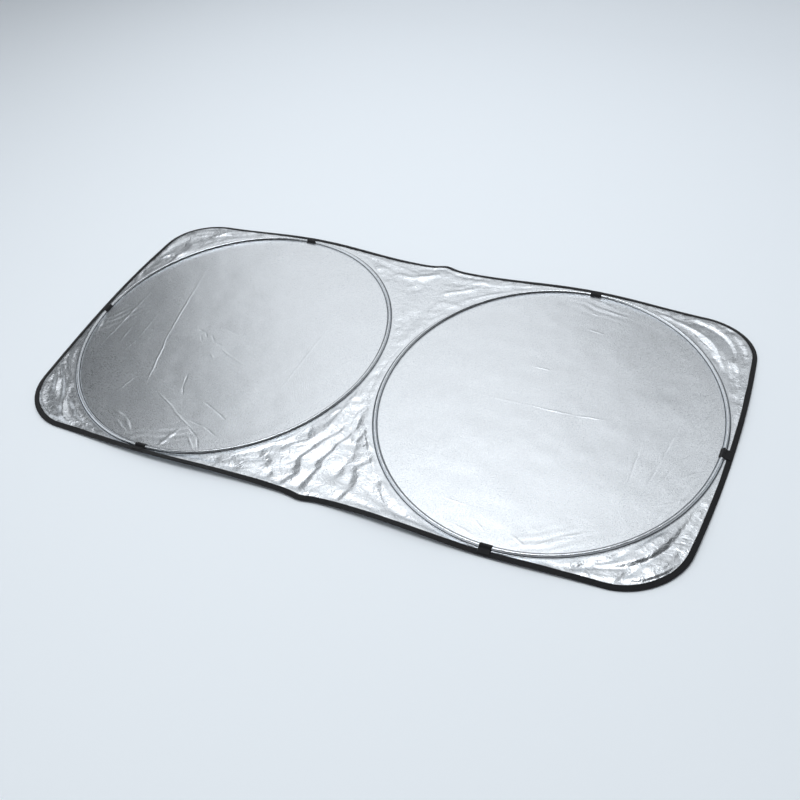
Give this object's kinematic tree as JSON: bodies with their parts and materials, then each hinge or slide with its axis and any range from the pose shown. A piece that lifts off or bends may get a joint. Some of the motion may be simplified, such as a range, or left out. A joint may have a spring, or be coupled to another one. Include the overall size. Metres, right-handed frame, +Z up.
{
  "type": "windscreen sunshade",
  "caption": "Folding windscreen sunshade opened flat: silvered cloth stretched on two sprung wire hoops in sewn sleeves, with black edge tape and tape tabs.",
  "frame": {"origin": "on the floor, under the middle of the outline", "axes": "+X along the long side, +Y from the dashboard edge to the sun-visor edge, +Z up out of the face"},
  "size_m": [1.5, 0.79, 0.0104],
  "materials": {
    "silver_cloth": "silvered woven polyester, satin",
    "sleeve_cloth": "silvered woven polyester, satin",
    "black_tape": "matt woven tape",
    "spring_steel": "rolled and hardened",
    "ferrule_steel": "plated"
  },
  "bodies": {
    "root": {"fabric_panel": "silver_cloth", "edge_binding": "black_tape", "hoop_sleeve_left": "sleeve_cloth", "hoop_sleeve_right": "sleeve_cloth", "hoop_wire_left": "spring_steel", "hoop_wire_right": "spring_steel", "wire_ferrule_left": "ferrule_steel", "wire_ferrule_right": "ferrule_steel", "tab_upper_left": "black_tape", "tab_lower_left": "black_tape", "tab_side_left": "black_tape", "tab_upper_right": "black_tape", "tab_lower_right": "black_tape", "tab_side_right": "black_tape"}
  },
  "joints": []
}
